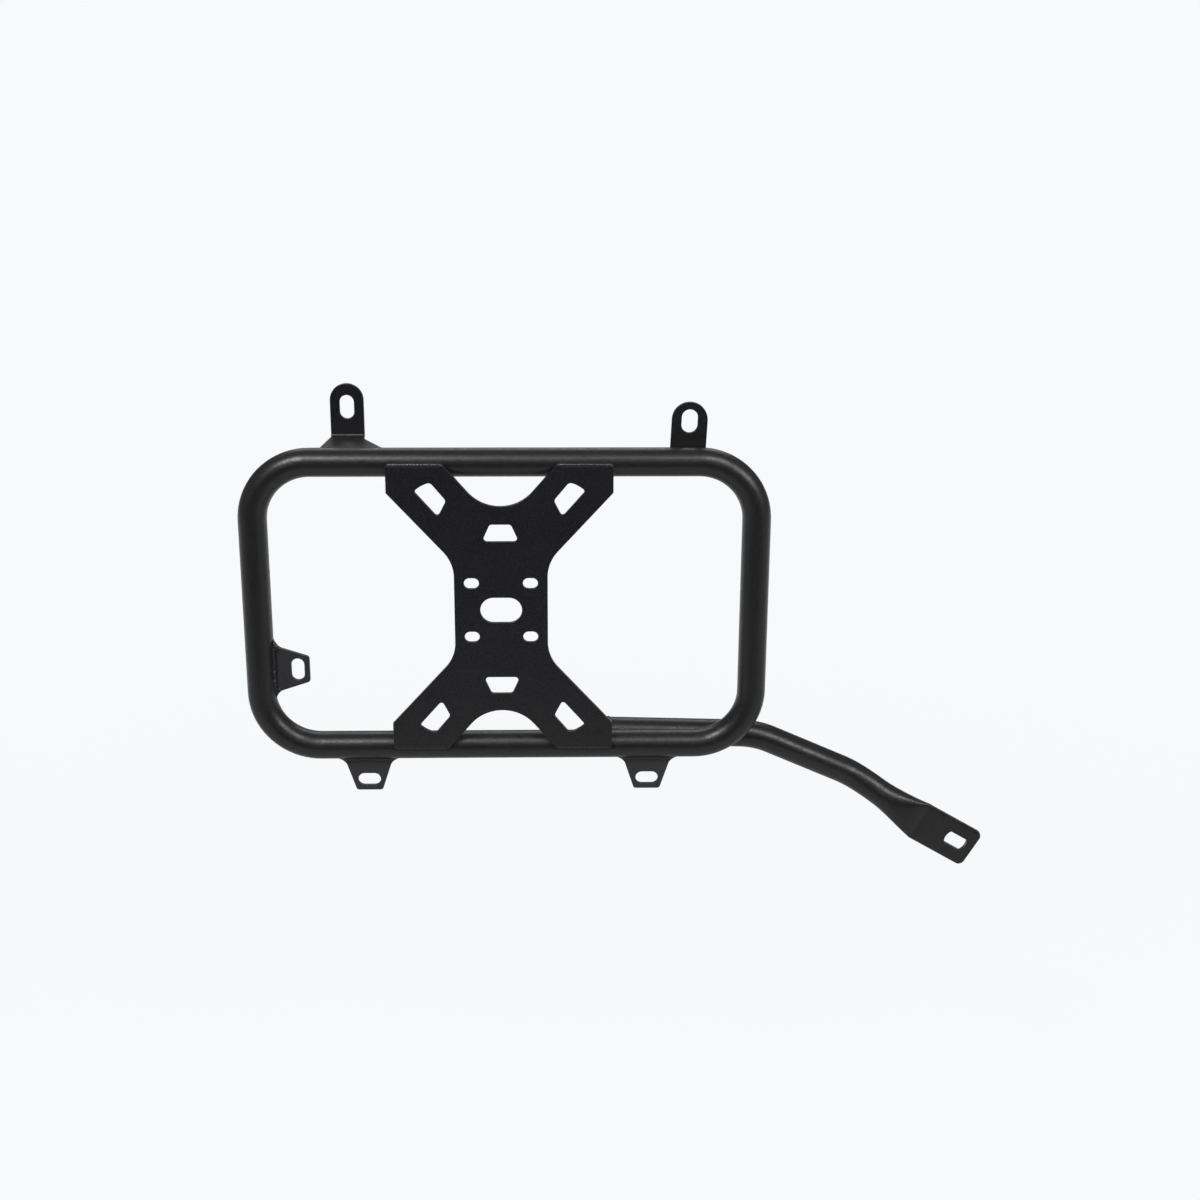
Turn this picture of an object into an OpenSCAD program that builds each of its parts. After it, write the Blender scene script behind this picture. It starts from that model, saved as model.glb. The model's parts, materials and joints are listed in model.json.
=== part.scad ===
// Right-hand pannier frame for a motorcycle, welded from bent tube, cut sheet and folded sheet.
// Millimetres. +X points forward along the bike, +Y inboard towards the bike, +Z up.
// The origin is the centre of the cross plate's four-slot pattern, on the plate's outer face.

/* [Tube] */
// Outside diameter of the tube that the hoop and the support arm are bent from
tube_od = 22; // [18:0.5:28]
// Wall of that tube
tube_wall = 2; // [1.2:0.1:3]

/* [Hoop] */
// Width of the hoop between the centres of its two uprights
hoop_w = 384; // [340:1:440]
// Height of the hoop between the centres of its two rails
hoop_h = 229; // [205:1:280]
// Radius of the four corner bends, at the tube's centre
bend_r = 45; // [34:1:60]
// How far the hoop's centre lies forward of the plate's centre
hoop_ahead = 3.7; // [-8:0.1:8]
// How far the hoop's centre lies below the plate's centre
hoop_below = 1.3; // [-4:0.1:4]

/* [Cross plate] */
// Thickness of the laser-cut cross plate
plate_t = 3; // [2:0.5:5]
// Width of the plate across its four feet
plate_w = 171; // [150:1:190]
// How far the plate stops short of the rail centres, top and bottom together
plate_short = 2; // [0:0.5:6]
// Height of the upright edge at the outer side of each foot
foot_edge_h = 21; // [12:1:30]
// Width of the plate at its waist
waist_w = 71.5; // [66:0.5:84]
// Height above the plate's centre where waist and arm edges would meet
waist_rise = 38; // [30:1:44]
// Radius that blends each arm edge into the waist
waist_r = 30; // [8:1:36]
// Depth of the vee between two feet
vee_depth = 31.5; // [26:0.5:40]
// Width of the vee at the plate's edge
vee_w = 84; // [74:1:92]
// Radius at the bottom of the vee
vee_r = 32; // [20:1:36]

/* [Slot pattern in the plate] */
// Distance between slots along the bike
pattern_x = 45; // [40:0.5:50]
// Distance between slots up the bike
pattern_z = 43; // [38:0.5:48]
// Width of each slot
pattern_slot_w = 8.4; // [6:0.1:9]
// Length of each slot, end to end
pattern_slot_l = 11.5; // [10:0.5:13]
// Width of the round-ended opening in the middle of the plate
centre_hole_w = 32; // [22:1:33]
// Height of that opening
centre_hole_h = 20; // [14:1:22]

/* [Windows in the plate] */
// Distance from the plate's centre to the nearer edge of a waist window
window_at = 54.5; // [50:0.5:58]
// Height of a waist window
window_h = 13.4; // [9:0.2:15]
// Longer side of a waist window
window_long = 28; // [20:0.2:30]
// Shorter side of a waist window
window_short = 16; // [10:0.5:18]
// Corner radius of the waist windows
window_r = 2.5; // [1:0.5:4]
// Distance from the plate's side edge in to an arm window's outer corner
arm_window_side = 21; // [18:0.5:24]
// Height of that corner above the foot's lower end
arm_window_foot = 1.5; // [0:0.5:3]
// Distance from the vee's rim out to the window's top corner
arm_window_rim = 10.5; // [8:0.5:13]
// Distance from the plate's top edge down to that corner
arm_window_top = 12.5; // [10:0.5:15]
// Distance from the vee's rim in to the window's inner corner
arm_window_vee = 1.5; // [0:0.5:3]
// Distance from the plate's top edge down to that corner
arm_window_mid = 27; // [25:0.5:30]
// Distance from the waist's side out to the window's lowest corner
arm_window_waist = 11.2; // [9:0.2:13]
// Distance from the plate's top edge down to that corner
arm_window_low = 39.5; // [36:0.5:42]
// Corner radius of the windows in the four arms
arm_window_r = 2; // [1:0.5:3]

/* [Slotted tabs] */
// Thickness of the two lower tabs and the side tab
tab_t = 3; // [2:0.5:5]
// How far a tab stands out from the tube
tab_reach = 27.3; // [24:0.5:36]
// Width of a tab at its tip
tab_tip_w = 20.5; // [20:0.5:28]
// Slope of a tab's two sides, as sideways run for each millimetre of reach
tab_flare = 0.33; // [0.2:0.01:0.45]
// Corner radius at a tab's tip
tab_r = 2.5; // [1:0.5:4]
// Width of a tab's slot
tab_slot_w = 10; // [8:0.2:11]
// Length of a tab's slot, end to end
tab_slot_l = 17.8; // [14:0.2:18]
// Distance from a tab's tip to the middle of its slot
tab_slot_in = 9.2; // [8:0.2:11]
// Distance between the two lower tabs
lower_tab_gap = 220.8; // [200:0.2:250]
// Height of the side tab's middle above the lower rail's centre
side_tab_up = 64; // [60:0.5:80]

/* [Rear top bracket] */
// Thickness of the sheet that the rear top bracket is folded from
rear_t = 3; // [2:0.5:4]
// How far the bracket's upright face stands inboard of the hoop's centre
rear_offset = 48; // [36:1:60]
// Height of the flange's upper face above the rail's centre
rear_flange_z = 9.6; // [7.5:0.1:10.4]
// Distance from the rear upright's centre forward to the bracket's middle
rear_inset = 69.2; // [60:0.2:80]
// Width of the upright tab
rear_tab_w = 26; // [22:0.5:30]
// Height of the tab's top above the flange's upper face
rear_tab_h = 41.1; // [36:0.5:56]
// Radius of the fold, at its inner face
rear_fold_r = 2; // [1:0.5:4]
// How far the flange spreads backwards at the rail
rear_spread = 4.5; // [0:0.5:6]
// Distance from the bracket's middle forward to the flange's point on the rail
rear_point = 34; // [30:1:40]
// Radius of the hollow between that point and the fold
rear_sweep_r = 24; // [12:1:28]
// Width of the upright slot
rear_slot_w = 11; // [9:0.2:12]
// Length of the upright slot, end to end
rear_slot_l = 18.5; // [15:0.5:22]
// Distance from the tab's top to the middle of the slot
rear_slot_in = 18.2; // [15:0.2:20]

/* [Front top bracket] */
// Thickness of the front top bracket
front_t = 3; // [2:0.5:4]
// Distance from the front upright's centre back to the bracket's middle
front_inset = 53.2; // [50:0.2:60]
// Width of the bracket
front_w = 27.3; // [24:0.5:32]
// Height of the bracket's top above the rail's centre
front_top = 43.5; // [38:0.5:56]
// How far the bracket's lower edge reaches below the rail's centre
front_down = 1.5; // [0.5:0.5:4]
// Forward lean of the bracket, in degrees
front_lean = 2.5; // [0:0.5:5]
// Width of the upright slot
front_slot_w = 12.2; // [9:0.2:13]
// Length of the upright slot, end to end
front_slot_l = 18; // [15:0.5:22]
// Distance from the bracket's top to the middle of the slot
front_slot_in = 14.6; // [13:0.2:18]

/* [Support arm] */
// Length that the arm reaches back along the lower rail from the front upright's centre
arm_lap = 112; // [82:1:142]
// Distance from the front upright's centre forward to the first bend's corner
arm_past = 7.6; // [0:0.2:20]
// Height of the capped end above the lower rail's centre
arm_rise = 2.3; // [0:0.1:4]
// Droop of the first stretch, in degrees
arm_droop = 1.6; // [0:0.1:2]
// Angle of the first bend, in degrees
arm_bend = 25.2; // [15:0.1:40]
// Turn of that bend towards the bike, in degrees from straight down
arm_turn = 15.4; // [0:0.1:30]
// Radius of the first bend, at the tube's centre
arm_bend_r = 60; // [50:1:90]
// Length of the straight stretch after the bend's corner
arm_leg = 80; // [60:1:110]
// Length of the second bend, in which the tube is also pressed flat
press_l = 80; // [60:0.5:95]
// Share of the second bend that stays round before the pressing starts
press_late = 0.48; // [0.2:0.01:0.6]
// How far the flat end is set outboard of the straight stretch's end
press_set = 18.7; // [6:0.1:24]
// How far the flat end is set down, square to its own slope
press_drop = 1.3; // [0:0.1:6]
// Slope of the flat end, in degrees below level
flat_slope = 30.3; // [20:0.1:45]
// Length of the flat end
flat_l = 46.6; // [40:0.1:70]
// Thickness of the flat end, which is both walls pressed together
flat_t = 4; // [3:0.5:6]
// Corner radius of the flat end
flat_r = 5.5; // [3:0.5:8]
// Width of the slot in the flat end
arm_slot_w = 11; // [9:0.2:13]
// Length of that slot over its round ends
arm_slot_l = 19; // [15:0.5:24]
// Distance from the arm's tip to the middle of the slot
arm_slot_in = 16.2; // [12:0.2:20]
// Thickness of the plug that closes the arm's end
plug_t = 3; // [2:0.5:5]
// Clearance all round the plug in the tube
plug_gap = 0.3; // [0.2:0.1:0.6]

/* [Welds] */
// Radius of the fillet beads along plates and tabs
bead_r = 2.4; // [1.5:0.1:3]
// Radius of the heavier beads round the brackets and the arm
heavy_bead_r = 3.2; // [2.5:0.1:4]

/* [Hidden] */
$fn = 48;
steel_black = [0.12, 0.12, 0.125];
tube_r = tube_od / 2;
bore_r = tube_r - tube_wall;
rail_z = hoop_h / 2;
upright_x = hoop_w / 2;
plate_h = hoop_h - plate_short;
arm_start = upright_x - arm_lap;
arm_corner = upright_x + arm_past;
press_rings = 18;
press_sides = 40;
press_lap = 0.5;
lap_step = 0.08;
arc_step = 0.01;
cavity_rings = 16;

// Frames

// Moves from the hoop's centre, in the plane of the tube's centre line, to the part's origin
module at_hoop() {
    translate([hoop_ahead, plate_t + tube_r, -hoop_below]) children();
}

// Stands a flat outline up, so that its first axis runs along X and its second up Z, to a thickness along +Y
module upright_sheet(t) {
    translate([0, t, 0]) rotate([90, 0, 0]) linear_extrude(t) children();
}

// Flat shapes

// A round-ended slot along the first axis
module slot_2d(l, w) {
    square([l - w, w], center = true);
    for (side = [-1, 1])
        translate([side * (l - w) / 2, 0]) circle(d = w);
}

function unit(v) = v / norm(v);
function corner_reach(a, b, c, r) =
    let (turn = acos(unit(a - b) * unit(c - b))) r / tan(turn / 2);
function corner_centre(a, b, c, r) =
    let (turn = acos(unit(a - b) * unit(c - b)))
    b + unit(unit(a - b) + unit(c - b)) * r / sin(turn / 2);

// A convex outline whose corners are rounded by true arcs, with one radius for each corner
module rounded_outline(points, radii) {
    n = len(points);
    polygon([for (i = [0 : n - 1])
        let (a = points[(i + n - 1) % n], b = points[i], c = points[(i + 1) % n],
            reach = corner_reach(a, b, c, radii[i]))
        for (next = [a, c]) b + unit(next - b) * reach]);
    for (i = [0 : n - 1])
        translate(corner_centre(points[(i + n - 1) % n], points[i], points[(i + 1) % n], radii[i]))
            circle(r = radii[i] - arc_step, $fn = 64);
}

// Hoop

// The path of a closed hoop, followed by a round section of radius r
module hoop_path(r) {
    leg_x = hoop_w - 2 * bend_r;
    leg_z = hoop_h - 2 * bend_r;
    for (side = [-1, 1]) {
        translate([-leg_x / 2, 0, side * rail_z]) rotate([0, 90, 0]) cylinder(r = r, h = leg_x);
        translate([side * upright_x, 0, -leg_z / 2]) cylinder(r = r, h = leg_z);
    }
    for (quarter = [0 : 3]) {
        side_x = quarter == 0 || quarter == 3 ? 1 : -1;
        side_z = quarter < 2 ? 1 : -1;
        translate([side_x * leg_x / 2, 0, side_z * leg_z / 2])
            rotate([90, 0, 0])
                rotate([0, 0, quarter * 90])
                    rotate_extrude(angle = 90, $fn = 96)
                        translate([bend_r, 0]) circle(r = r);
    }
}

module hoop_tube() {
    color(steel_black) at_hoop() difference() {
        hoop_path(tube_r);
        hoop_path(bore_r);
    }
}

// A straight stand-in for one rail's outside, used to shape what is welded to it
module rail_envelope(side_z) {
    translate([-hoop_w / 2, 0, side_z * rail_z]) rotate([0, 90, 0]) cylinder(r = tube_r, h = hoop_w);
}

// Cross plate

// One of the two big notches that leave the waist between the arms
module side_notch() {
    edge_z = plate_h / 2 - foot_edge_h;
    outer = plate_w;
    run = (edge_z - waist_rise) / (plate_w - waist_w) * 2;
    outer_z = edge_z + run * (outer - plate_w / 2);
    rounded_outline([[outer, outer_z], [waist_w / 2, waist_rise], [waist_w / 2, -waist_rise],
        [outer, -outer_z]], [1, waist_r, waist_r, 1]);
}

// The vee between two feet: straight sides that run into a round bottom
module vee() {
    drop = plate_h / 2 - vee_depth + vee_r;
    rim = plate_h / 2 - drop;
    span = norm([vee_w / 2, rim]);
    turn = atan2(rim, vee_w / 2) - acos(vee_r / span);
    touch = vee_r * [cos(turn), sin(turn)];
    translate([0, drop]) {
        circle(r = vee_r - arc_step, $fn = 96);
        polygon([[-vee_w / 2, rim], [-touch[0], touch[1]], touch, [vee_w / 2, rim],
            [vee_w / 2, rim + vee_r], [-vee_w / 2, rim + vee_r]]);
    }
}

// The four-sided window in the upper forward arm, which the other three arms mirror
module arm_window() {
    top = plate_h / 2;
    rim = vee_w / 2;
    rounded_outline([[plate_w / 2 - arm_window_side, top - foot_edge_h + arm_window_foot],
        [rim + arm_window_rim, top - arm_window_top], [rim - arm_window_vee, top - arm_window_mid],
        [waist_w / 2 + arm_window_waist, top - arm_window_low]],
        [for (i = [0 : 3]) arm_window_r]);
}

module waist_window() {
    half_long = window_long / 2;
    half_short = window_short / 2;
    top = window_at + window_h;
    rounded_outline([[half_long, window_at], [half_short, top], [-half_short, top], [-half_long, window_at]],
        [for (i = [0 : 3]) window_r]);
}

module cross_outline() {
    difference() {
        square([plate_w, plate_h], center = true);
        for (flip = [0, 1]) {
            mirror([flip, 0]) side_notch();
            mirror([0, flip]) {
                vee();
                waist_window();
                for (side = [0, 1])
                    mirror([side, 0]) arm_window();
            }
        }
        for (x = [-1, 1], z = [-1, 1])
            translate([x * pattern_x / 2, z * pattern_z / 2]) slot_2d(pattern_slot_l, pattern_slot_w);
        slot_2d(centre_hole_w, centre_hole_h);
    }
}

module cross_plate() {
    color(steel_black) upright_sheet(plate_t) cross_outline();
}

// Slotted tabs

// A tab that hangs from the tube's centre at the origin, with its root cut to sit round the tube
module slotted_tab() {
    tip_z = -tube_r - tab_reach;
    root_z = -tube_r * 0.8;
    root_w = tab_tip_w / 2 + tab_flare * (root_z - tip_z);
    difference() {
        translate([0, -tab_t / 2, 0]) upright_sheet(tab_t) difference() {
            rounded_outline([[-tab_tip_w / 2, tip_z], [tab_tip_w / 2, tip_z], [root_w, root_z], [-root_w, root_z]],
                [tab_r, tab_r, 1, 1]);
            translate([0, tip_z + tab_slot_in]) slot_2d(tab_slot_l, tab_slot_w);
        }
        translate([-hoop_h / 2, 0, 0]) rotate([0, 90, 0]) cylinder(r = tube_r, h = hoop_h);
    }
}

// The collar of weld that runs round a tab's root
module tab_bead() {
    root_half = tab_tip_w / 2 + tab_flare * tab_reach;
    difference() {
        for (side = [-1, 1]) {
            translate([-root_half, side * tab_t / 2, -tube_r]) rotate([0, 90, 0])
                cylinder(r = bead_r, h = 2 * root_half);
            translate([side * root_half, 0, -tube_r]) rotate([90, 0, 0])
                translate([0, 0, -tab_t / 2]) cylinder(r = bead_r, h = tab_t);
            for (face = [-1, 1])
                translate([side * root_half, face * tab_t / 2, -tube_r]) sphere(r = bead_r);
        }
        translate([-hoop_h / 2, 0, 0]) rotate([0, 90, 0]) cylinder(r = tube_r, h = hoop_h);
        slotted_tab();
    }
}

module at_lower_tab(side) {
    at_hoop() translate([side * lower_tab_gap / 2, 0, -rail_z]) children();
}

module at_side_tab() {
    at_hoop() translate([-upright_x, 0, side_tab_up - rail_z]) rotate([0, -90, 0]) children();
}

module lower_rear_tab() {
    color(steel_black) at_lower_tab(-1) slotted_tab();
}

module lower_front_tab() {
    color(steel_black) at_lower_tab(1) slotted_tab();
}

module side_tab() {
    color(steel_black) at_side_tab() slotted_tab();
}

module lower_rear_tab_weld() {
    color(steel_black) at_lower_tab(-1) tab_bead();
}

module lower_front_tab_weld() {
    color(steel_black) at_lower_tab(1) tab_bead();
}

module side_tab_weld() {
    color(steel_black) at_side_tab() tab_bead();
}

// Rear top bracket

module at_rear_bracket() {
    at_hoop() translate([rear_inset - upright_x, 0, rail_z + rear_flange_z]) children();
}

// The level flange seen from above: nearly straight behind, sloping out to a point in front
module flange_outline() {
    fold_y = rear_offset - rear_fold_r;
    half = rear_tab_w / 2;
    point = [rear_point, 0];
    hollow = [half + rear_sweep_r, fold_y];
    away = point - hollow;
    turn = atan2(away[1], away[0]) - acos(rear_sweep_r / norm(away));
    touch = hollow + rear_sweep_r * [cos(turn), sin(turn)];
    difference() {
        polygon([[-half, fold_y], [-half - rear_spread, 0], point, touch, hollow]);
        translate(hollow) circle(r = rear_sweep_r - arc_step, $fn = 128);
    }
}

module rear_top_bracket() {
    fold_y = rear_offset - rear_fold_r;
    straight_h = rear_tab_h - rear_fold_r;
    color(steel_black) difference() {
        at_rear_bracket() {
            translate([0, 0, -rear_t]) linear_extrude(rear_t) flange_outline();
            translate([-rear_tab_w / 2, fold_y, rear_fold_r]) rotate([0, 90, 0]) linear_extrude(rear_tab_w)
                intersection() {
                    difference() {
                        circle(r = rear_fold_r + rear_t);
                        circle(r = rear_fold_r);
                    }
                    square(rear_fold_r + rear_t);
                }
            translate([0, rear_offset, rear_fold_r]) upright_sheet(rear_t) difference() {
                union() {
                    translate([-rear_tab_w / 2, 0]) square([rear_tab_w, straight_h - rear_tab_w / 2]);
                    translate([0, straight_h - rear_tab_w / 2]) circle(d = rear_tab_w, $fn = 96);
                }
                translate([0, straight_h - rear_slot_in]) rotate(90) slot_2d(rear_slot_l, rear_slot_w);
            }
        }
        at_hoop() rail_envelope(1);
    }
}

// The low bead that joins the flange to the top of the rail
module rear_bracket_weld() {
    bead_y = sqrt(tube_r * tube_r - rear_flange_z * rear_flange_z);
    bead_l = rear_tab_w / 2 + rear_spread + rear_point - bead_r;
    color(steel_black) difference() {
        at_rear_bracket() translate([-rear_tab_w / 2 - rear_spread, bead_y, -bead_r / 2]) {
            rotate([0, 90, 0]) cylinder(r = bead_r, h = bead_l);
            for (x = [0, bead_l])
                translate([x, 0, 0]) sphere(r = bead_r);
        }
        at_hoop() rail_envelope(1);
        at_rear_bracket() translate([0, 0, -rear_t]) linear_extrude(rear_t) flange_outline();
    }
}

// Front top bracket

module at_front_bracket() {
    at_hoop() translate([upright_x - front_inset, tube_r, rail_z]) rotate([0, front_lean, 0]) children();
}

module front_blank() {
    round_z = front_top - front_w / 2;
    translate([-front_w / 2, -front_down]) square([front_w, round_z + front_down]);
    translate([0, round_z]) circle(d = front_w, $fn = 96);
}

module front_top_bracket() {
    color(steel_black) at_front_bracket() upright_sheet(front_t) difference() {
        front_blank();
        translate([0, front_top - front_slot_in]) rotate(90) slot_2d(front_slot_l, front_slot_w);
    }
}

// A bead that climbs round the rail beside one edge of the front bracket
module front_side_bead(side) {
    climb = 36;
    difference() {
        at_front_bracket() translate([side * (front_w / 2 + heavy_bead_r * 0.6), -tube_r, 0]) {
            rotate([0, -90, 0]) rotate([0, 0, 90 - climb]) rotate_extrude(angle = climb, $fn = 96)
                translate([tube_r, 0]) circle(r = heavy_bead_r);
            translate([0, tube_r * cos(climb), tube_r * sin(climb)]) sphere(r = heavy_bead_r * 1.04);
            translate([0, tube_r, 0]) sphere(r = heavy_bead_r * 1.04);
        }
        at_hoop() hoop_path(tube_r);
        at_front_bracket() translate([-front_w / 2, -tube_od, -tube_od]) cube([front_w, 2 * tube_od, 2 * tube_od]);
    }
}

module front_bracket_weld_rear() {
    color(steel_black) front_side_bead(-1);
}

module front_bracket_weld_front() {
    color(steel_black) front_side_bead(1);
}

module front_bracket_weld_foot() {
    bead_l = front_w - 2 * bead_r;
    color(steel_black) difference() {
        at_front_bracket() translate([-bead_l / 2, front_t / 3, -front_down]) rotate([0, 90, 0])
            cylinder(r = bead_r, h = bead_l);
        at_hoop() rail_envelope(1);
        at_front_bracket() translate([-front_w, -front_t, -front_down]) cube([2 * front_w, 4 * front_t, front_w]);
    }
}

// Cross plate welds

// A bead on the outer edge of one foot, in the corner between that edge and the rail
module plate_bead(side_x, side_z) {
    foot_l = (plate_w - vee_w) / 2;
    mid_x = side_x * (plate_w + vee_w) / 4;
    edge_z = side_z * plate_h / 2;
    difference() {
        translate([mid_x - foot_l / 2 + bead_r, plate_t / 2, edge_z]) {
            rotate([0, 90, 0]) cylinder(r = bead_r, h = foot_l - 2 * bead_r);
            for (x = [0, foot_l - 2 * bead_r])
                translate([x, 0, 0]) sphere(r = bead_r);
        }
        translate([-plate_w, -plate_t, -plate_h / 2]) cube([2 * plate_w, 2 * plate_t + tube_r, plate_h]);
        at_hoop() rail_envelope(side_z);
    }
}

module plate_weld_top_rear() {
    color(steel_black) plate_bead(-1, 1);
}

module plate_weld_top_front() {
    color(steel_black) plate_bead(1, 1);
}

module plate_weld_bottom_rear() {
    color(steel_black) plate_bead(-1, -1);
}

module plate_weld_bottom_front() {
    color(steel_black) plate_bead(1, -1);
}

// Support arm

// Moves to the arm's capped end, with +X along its first stretch
module at_arm_end() {
    at_hoop() translate([arm_start, sqrt(tube_od * tube_od - arm_rise * arm_rise), -rail_z + arm_rise])
        rotate([0, arm_droop, 0]) children();
}

first_l = (arm_corner - arm_start) / cos(arm_droop);
bend_cut = arm_bend_r * tan(arm_bend / 2);

// Moves to the centre that the arm's first bend turns about
module at_arm_bend() {
    at_arm_end() translate([first_l - bend_cut, 0, 0]) rotate([arm_turn, 0, 0])
        translate([0, 0, -arm_bend_r]) children();
}

// The round part of the arm, from its capped end to where it is pressed, at one radius
module arm_round(r) {
    at_arm_bend() {
        translate([press_lap, 0, arm_bend_r]) rotate([0, -90, 0])
            cylinder(r = r - lap_step, h = first_l - bend_cut + press_lap);
        rotate([90, 0, 0]) rotate([0, 0, 90 - arm_bend])
            rotate_extrude(angle = arm_bend, $fn = 96) translate([arm_bend_r, 0]) circle(r = r);
        rotate([0, arm_bend, 0]) translate([-press_lap, 0, arm_bend_r]) rotate([0, 90, 0])
            cylinder(r = r - lap_step, h = arm_leg - bend_cut + press_lap);
    }
}

// The same directions as numbers, for the pressed part
function turn_y(v, a) = [v[0] * cos(a) + v[2] * sin(a), v[1], -v[0] * sin(a) + v[2] * cos(a)];
function turn_x(v, a) = [v[0], v[1] * cos(a) - v[2] * sin(a), v[1] * sin(a) + v[2] * cos(a)];
function leg_to_hoop(v) = turn_y(turn_x(turn_y(v, arm_bend), arm_turn), arm_droop);
arm_end_at = [arm_start, sqrt(tube_od * tube_od - arm_rise * arm_rise), -rail_z + arm_rise];
corner_at = arm_end_at + turn_y([first_l, 0, 0], arm_droop);
leg_dir = leg_to_hoop([1, 0, 0]);
press_from = corner_at + arm_leg * leg_dir;
flat_dir = [cos(flat_slope), 0, -sin(flat_slope)];
flat_up = [sin(flat_slope), 0, cos(flat_slope)];
press_to = press_from + press_l * flat_dir - press_drop * flat_up - [0, press_set, 0];
flat_w = PI * (tube_od - tube_wall) / 2 + tube_wall;

// The pressed part's centre line eases from the leg's direction to the flat's
function press_point(t) =
    let (a = press_from + leg_dir * press_l / 3, b = press_to - flat_dir * press_l / 3)
    pow(1 - t, 3) * press_from + 3 * t * pow(1 - t, 2) * a + 3 * t * t * (1 - t) * b + pow(t, 3) * press_to;

// Its section goes from a circle to the flattened tube, with its girth nearly kept
function press_ease(t) =
    let (q = max(0, (t - press_late) / (1 - press_late)))
    q * q * (3 - 2 * q);
function press_ring(t, r, w, h) =
    let (e = press_ease(t), round_up = unit(cross(cross(leg_dir, flat_up), leg_dir)),
        up = unit(round_up * (1 - t) + flat_up * t),
        along = unit(leg_dir * (1 - t) + flat_dir * t), side = unit(cross(along, up)),
        half_w = r * (1 - e) + w / 2 * e, half_h = r * (1 - e) + h / 2 * e, p = 2 + 4 * e)
    [for (k = [0 : press_sides - 1])
        let (a = (k + 0.5) * 360 / press_sides, c = cos(a), s = sin(a),
            size = pow(pow(abs(c), p) + pow(abs(s), p), -1 / p))
        press_point(t) + up * half_w * c * size + side * half_h * s * size];

// A closed skin through the rings, drawn on by a short straight lap at each end
module press_skin(r, w, h, count, lap_out) {
    rings = concat(
        [[for (v = press_ring(0, r, w, h)) v - leg_dir * press_lap]],
        [for (i = [0 : count]) press_ring(i / press_rings, r, w, h)],
        [for (lap = [for (l = [lap_out]) if (l > 0) l])
            [for (v = press_ring(count / press_rings, r, w, h)) v + flat_dir * lap]]);
    n = press_sides;
    last = len(rings) - 1;
    hub = len(rings) * n;
    polyhedron(
        points = concat([for (ring = rings) for (v = ring) v],
            [(rings[0][0] + rings[0][n / 2]) / 2, (rings[last][0] + rings[last][n / 2]) / 2]),
        faces = concat(
            [for (k = [0 : n - 1]) [hub, k, (k + 1) % n]],
            [for (k = [0 : n - 1]) [hub + 1, last * n + (k + 1) % n, last * n + k]],
            [for (i = [0 : last - 1], k = [0 : n - 1])
                [i * n + k, (i + 1) * n + k, (i + 1) * n + (k + 1) % n]],
            [for (i = [0 : last - 1], k = [0 : n - 1])
                [i * n + k, (i + 1) * n + (k + 1) % n, i * n + (k + 1) % n]]),
        convexity = 4);
}

// The flat end: pressed walls with round edges, a round-cornered tip and a slot with bulged ends
module flat_end() {
    edge_r = flat_t / 2;
    translate(press_to) rotate([0, flat_slope, 0]) difference() {
        intersection() {
            union() {
                translate([0, -edge_r, -flat_w / 2 + edge_r]) cube([flat_l, flat_t, flat_w - flat_t]);
                for (side = [-1, 1])
                    translate([0, 0, side * (flat_w / 2 - edge_r)]) rotate([0, 90, 0])
                        cylinder(r = edge_r, h = flat_l);
            }
            translate([0, -flat_t, 0]) upright_sheet(2 * flat_t)
                rounded_outline([[-flat_w, -flat_w / 2], [flat_l, -flat_w / 2], [flat_l, flat_w / 2],
                    [-flat_w, flat_w / 2]], [1, flat_r, flat_r, 1]);
        }
        translate([flat_l - arm_slot_in, -flat_t, 0]) upright_sheet(2 * flat_t) intersection() {
            circle(d = arm_slot_l);
            square([arm_slot_l, arm_slot_w], center = true);
        }
    }
}

module support_arm() {
    color(steel_black) {
        difference() {
            union() {
                arm_round(tube_r);
                at_hoop() press_skin(tube_r - 2 * lap_step, flat_w - 2 * lap_step, flat_t - 2 * lap_step, press_rings, press_lap);
                at_hoop() flat_end();
            }
            arm_round(bore_r);
            at_hoop() press_skin(bore_r - 2 * lap_step, flat_w - 2 * tube_wall, 0, cavity_rings, 0);
        }
    }
}

module arm_end_plug() {
    color(steel_black) at_arm_end() rotate([0, 90, 0]) cylinder(r = bore_r - plug_gap, h = plug_t);
}

// The ring of weld that seals the plug in the arm's end
module arm_end_weld() {
    color(steel_black) difference() {
        at_arm_end() rotate([0, 90, 0]) rotate_extrude($fn = 96)
            translate([tube_r - heavy_bead_r * 0.65, 0]) circle(r = heavy_bead_r);
        at_arm_end() rotate([0, 90, 0]) cylinder(r = tube_r, h = first_l / 2);
        at_hoop() rail_envelope(-1);
    }
}

// The weld that fills the groove on top of arm and rail, close to the capped end
module arm_rail_weld() {
    groove_r = heavy_bead_r * 1.5;
    groove_l = tube_od * 0.6;
    color(steel_black) difference() {
        at_hoop() translate([arm_start + heavy_bead_r * 1.4, arm_end_at[1] / 2, -rail_z + arm_rise / 2 + tube_r * 0.55]) {
            rotate([0, 90, 0]) cylinder(r = groove_r, h = groove_l);
            translate([groove_l, 0, 0]) sphere(r = groove_r);
        }
        at_hoop() rail_envelope(-1);
        at_arm_end() rotate([0, 90, 0]) cylinder(r = tube_r, h = first_l);
        arm_end_weld();
    }
}

// The short weld where the hoop's lower corner leaves the arm
module arm_corner_weld() {
    groove_r = heavy_bead_r;
    color(steel_black) difference() {
        at_hoop() translate([upright_x - bend_r + tube_r * 0.6, tube_r, -rail_z + tube_r * 0.5])
            rotate([0, 90, 0]) cylinder(r = groove_r, h = tube_r);
        at_hoop() hoop_path(tube_r);
        at_arm_end() rotate([0, 90, 0]) cylinder(r = tube_r, h = first_l);
    }
}

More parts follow.
